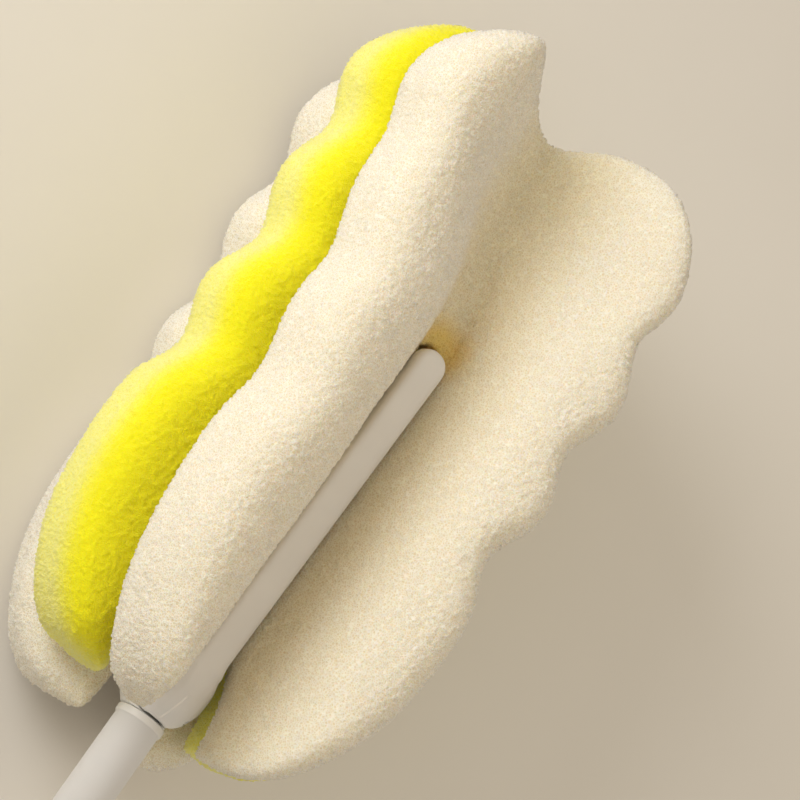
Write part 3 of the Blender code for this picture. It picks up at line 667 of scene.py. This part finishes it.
def nearing_tip(tree, place):
    """Rises to one at the slot over the prong's tip, where the light that comes through is golden."""
    tip = to_room(TIP_ASIDE, prong_inner_reach(PRONG_TIP_HEIGHT), PRONG_TIP_HEIGHT + TIP_ABOVE)
    away = add(tree, "ShaderNodeVectorMath", {"operation": "DISTANCE"}, {0: place, 1: tuple(tip)})
    return ranged(tree, away.outputs["Value"], TIP_FAR, TIP_NEAR, kind="SMOOTHSTEP")


def cell_relief(tree, place):
    """A net of struts about uneven cells, with a finer grain: near zero in a cell and high on a strut."""
    drift = pattern(tree, place, CELL_DRIFT_SCALE)
    warped = add(
        tree, "ShaderNodeVectorMath", {"operation": "MULTIPLY_ADD"},
        {0: drift.outputs["Color"], 1: (CELL_SPACING,) * 3, 2: place},
    ).outputs[0]
    cells = add(
        tree, "ShaderNodeTexVoronoi", {"feature": "DISTANCE_TO_EDGE"},
        {"Vector": warped, "Scale": 1 / CELL_SPACING},
    ).outputs["Distance"]
    struts = ranged(tree, cells, STRUT_MIDDLE, STRUT_SIDE, 1.0, 0.0, "SMOOTHSTEP")
    grain = pattern(tree, place, GRAIN_SCALE, detail=3.0).outputs["Fac"]
    return add(
        tree, "ShaderNodeMath", {"operation": "MULTIPLY_ADD"}, {0: grain, 1: GRAIN_SHARE, 2: struts}
    ).outputs[0]


def open_cell_foam(name, strut, pore, glow, fold, painted_fold_shade, painted_tip_light=None):
    """Polyurethane foam cut from a block: bright strut ends over shaded cells, painted warm shade in its folds
    and painted golden light by the slot.
    """
    made, tree, shader = new_material(name)
    place = add(tree, "ShaderNodeTexCoord").outputs["Object"]
    height = cell_relief(tree, place)
    colour = mixed(tree, ranged(tree, height, PORE_RELIEF, STRUT_RELIEF), linear(pore), linear(strut))
    # Painted shade: the colour is multiplied warmer and darker near the given fold, where layers and prong
    # shade one another and light bounces between them
    colour = mixed(tree, nearing(tree, place, *fold), colour, linear(painted_fold_shade), "MULTIPLY")
    if painted_tip_light:
        # Painted light: a golden, darker tint about the slot over the prong's tip, standing in for the yellow
        # layer's light that comes through
        colour = mixed(tree, nearing_tip(tree, place), colour, linear(painted_tip_light), "MULTIPLY")
    relief = bumped(tree, height, RELIEF_STRENGTH, RELIEF_HEIGHT)
    join(tree, {"Base Color": colour, "Normal": relief}, shader)
    shader.inputs["Roughness"].default_value = 0.9
    shader.inputs["Specular IOR Level"].default_value = 0.15
    shader.inputs["Subsurface Weight"].default_value = 0.55
    shader.inputs["Subsurface Radius"].default_value = glow
    shader.inputs["Subsurface Scale"].default_value = 1.0
    shader.inputs["Sheen Weight"].default_value = 0.2
    shader.inputs["Sheen Roughness"].default_value = 0.6
    return made


def moulded_polypropylene():
    """Injection-moulded polypropylene: satin white, faintly rippled, with a painted highlight along its
    parting line.
    """
    made, tree, shader = new_material("moulded_polypropylene")
    place = add(tree, "ShaderNodeTexCoord").outputs["Object"]
    flow = pattern(tree, place, 1 / FLOW_SIZE).outputs["Fac"]
    spark = pattern(tree, place, 1 / SPARK_SIZE).outputs["Fac"]
    colour = mixed(tree, flow, linear("E0DFDE"), linear("E9E9E8"))
    middle = (PARTING_LOW + PARTING_HIGH) / 2
    half = (PARTING_HIGH - PARTING_LOW) / 2
    across_line = nearing(tree, place, 0, PARTING_PLACE, LINE_FAR, LINE_NEAR)
    along_line = nearing(tree, place, 1, middle, half, half - LINE_FADE)
    line = add(tree, "ShaderNodeMath", {"operation": "MULTIPLY"}, {0: across_line, 1: along_line}).outputs[0]
    # Painted highlight: a paler stripe along the parting line's ridge, where a gleam runs
    colour = mixed(tree, line, colour, linear("FBF9F6"))
    gloss = ranged(tree, flow, 0.0, 1.0, *PLASTIC_ROUGHNESS)
    fine = bumped(tree, spark, SPARK_STRENGTH, SPARK_HEIGHT)
    join(tree, {"Base Color": colour, "Roughness": gloss, "Normal": fine}, shader)
    shader.inputs["IOR"].default_value = 1.49
    shader.inputs["Subsurface Weight"].default_value = 0.25
    shader.inputs["Subsurface Radius"].default_value = (1.6 * MM, 1.4 * MM, 1.3 * MM)
    shader.inputs["Subsurface Scale"].default_value = 1.0
    return made


def drawn_steel():
    """Steel wire, drawn and cut: bright, with fine lines along its length."""
    made, tree, shader = new_material("drawn_steel")
    place = add(tree, "ShaderNodeTexCoord").outputs["Object"]
    along = add(tree, "ShaderNodeMapping", inputs={"Vector": place, "Scale": DRAWN_LINE_STRETCH}).outputs[0]
    lines = pattern(tree, along, 1 / DRAWN_LINE_SIZE).outputs["Fac"]
    join(tree, {"Roughness": ranged(tree, lines, 0.0, 1.0, *STEEL_ROUGHNESS)}, shader)
    shader.inputs["Base Color"].default_value = linear("C4C5C7")
    shader.inputs["Metallic"].default_value = 1.0
    return made


def pale_floor():
    """A plain pale board: matt, with a slow faint mottle."""
    made, tree, shader = new_material("pale_floor")
    place = add(tree, "ShaderNodeTexCoord").outputs["Object"]
    mottle = pattern(tree, place, 1 / MOTTLE_SIZE, detail=3.0).outputs["Fac"]
    join(tree, {"Base Color": mixed(tree, mottle, linear("DDDAD3"), linear("E1DED8"))}, shader)
    shader.inputs["Roughness"].default_value = 0.8
    return made


def dress(piece, material):
    piece.data.materials.clear()
    piece.data.materials.append(material)


# Floor, lamps and camera


def floor():
    bm = bmesh.new()
    bmesh.ops.create_grid(bm, x_segments=1, y_segments=1, size=FLOOR_HALF_SIZE)
    mesh = bpy.data.meshes.new("floor")
    bm.to_mesh(mesh)
    bm.free()
    ground = mesh_object("floor", mesh)
    dress(ground, pale_floor())


def lamp(name, place, size, cone, power, colour):
    """A round lamp that faces the head and throws its light in a cone of that many degrees."""
    light = bpy.data.lights.new(name, "AREA")
    light.shape = "DISK"
    light.size = size
    light.energy = power
    light.color = colour
    light.spread = math.radians(cone)
    made = bpy.data.objects.new(name, light)
    bpy.context.scene.collection.objects.link(made)
    made.location = place
    made.rotation_euler = (Vector(HEAD_PLACE) - Vector(place)).to_track_quat("-Z", "Y").to_euler()


def lighting():
    """A soft lamp close by at the head's left, kept off the floor, a weak wide one above and a warm sky."""
    lamp("window", WINDOW_PLACE, WINDOW_SIZE, WINDOW_CONE, WINDOW_POWER, (1.0, 0.97, 0.93))
    lamp("bounce", BOUNCE_PLACE, BOUNCE_SIZE, BOUNCE_CONE, BOUNCE_POWER, (1.0, 0.87, 0.68))
    world = bpy.data.worlds.new("studio")
    bpy.context.scene.world = world
    world.use_nodes = True
    sky = world.node_tree.nodes["Background"]
    sky.inputs["Color"].default_value = SKY_COLOUR
    sky.inputs["Strength"].default_value = SKY_STRENGTH


def camera():
    """The photograph's view: from the handle's side and the brush's left, the head at the upper right."""
    cos, sin = math.cos(CAMERA_TURN), math.sin(CAMERA_TURN)
    eye = Vector(to_room(-CAMERA_DISTANCE * sin, CAMERA_DISTANCE * cos, CAMERA_HEIGHT))
    aim = Vector(to_room(AIM_ACROSS * cos, AIM_ACROSS * sin, AIM_HEIGHT))
    ahead = (aim - eye).normalized()
    upright = Vector((0, 1, 0))
    upright = (upright - upright.dot(ahead) * ahead).normalized()
    right = ahead.cross(upright)
    up = upright * math.cos(CAMERA_TILT) - right * math.sin(CAMERA_TILT)
    right = ahead.cross(up)
    data = bpy.data.cameras.new("camera")
    data.sensor_width = SENSOR_WIDTH
    data.lens = data.sensor_width * FOCAL_PIXELS / PHOTO_PIXELS
    made = bpy.data.objects.new("camera", data)
    bpy.context.scene.collection.objects.link(made)
    made.matrix_world = Matrix.Translation(eye) @ Matrix((right, up, -ahead)).transposed().to_4x4()
    bpy.context.scene.camera = made


# The brush, piece by piece


def dressed_foam():
    # Where the painted shade falls: in the groove beside the prongs on the cream layers, and under the front
    # wing on the yellow layer
    groove_shade = (0, AXIS_PLACE, GROOVE_FAR, GROOVE_NEAR)
    under_wing_shade = (2, AXIS_HEIGHT + UNDER_WING_ABOVE_AXIS, UNDER_WING_FAR, UNDER_WING_NEAR)
    # The cream's tip colour is painted golden light and shade about the slot, not a stain
    cream = open_cell_foam(
        "cream_open_cell_foam", strut="FFFAEA", pore="E8D8B4", glow=(7.0 * MM, 5.8 * MM, 3.9 * MM),
        fold=groove_shade, painted_fold_shade="FCF6E8", painted_tip_light="FEE8A2",
    )
    lemon = open_cell_foam(
        "lemon_open_cell_foam", strut="FFFC8C", pore="FFF464", glow=(8.0 * MM, 7.4 * MM, 1.1 * MM),
        fold=under_wing_shade, painted_fold_shade="FFFA1C",
    )
    front = Layer(
        folded=folded_layer, facing=1.0, inner_arch=CROTCH_HALF_WIDTH, outer_arch=CROTCH_FRONT_HALF_WIDTH,
        rise=FRONT_BOTTOM_RISE, drop=0.0, off_centre=FRONT_OFF_CENTRE, fuller=True,
    )
    middle = Layer(
        folded=flat_layer, facing=1.0, inner_arch=CROTCH_HALF_WIDTH, outer_arch=CROTCH_HALF_WIDTH,
        rise=MIDDLE_BOTTOM_RISE, drop=0.0, off_centre=MIDDLE_OFF_CENTRE, fuller=False,
    )
    back = Layer(
        folded=folded_layer, facing=-1.0, inner_arch=CROTCH_BACK_INNER_HALF_WIDTH,
        outer_arch=CROTCH_BACK_HALF_WIDTH, rise=BACK_BOTTOM_RISE, drop=BACK_TOP_DROP, off_centre=0.0,
        fuller=False,
    )
    layers = (
        ("front", front, slot_mesh(), cream, "white_foam"),
        ("middle", middle, pin_hole_mesh(), lemon, "yellow_foam"),
        ("back", back, pin_hole_mesh(), cream, "white_foam"),
    )
    for seed, (side, layer, cutter, material, slot) in enumerate(layers, start=1):
        name, node = f"{side}_foam", f"{side}_sponge"
        piece = foam_layer(name, layer, cutter, seed)
        dress(piece, material)
        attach(piece, "brush")
        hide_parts(node)


def dressed_plastic():
    plastic = moulded_polypropylene()
    tube = mesh_object("tube", tube_mesh())
    tube.data.shade_smooth()
    back = moulding("fork_back", "back_prong", saddle_mesh())
    front = moulding("fork_front", "front_prong")
    raise_parting_line(front)
    places = (
        (tube, "handle_tube", "brush"),
        (back, "back_prong", "brush"),
        (front, "front_prong", "front_prong"),
    )
    for piece, node, body in places:
        dress(piece, plastic)
        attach(piece, body)
        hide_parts(node)
    dress(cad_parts["end_plug"], plastic)
    dress(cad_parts["hinge_pin"], drawn_steel())


bpy.context.scene.view_settings.view_transform = "Standard"
dressed_foam()
dressed_plastic()
floor()
lighting()
camera()
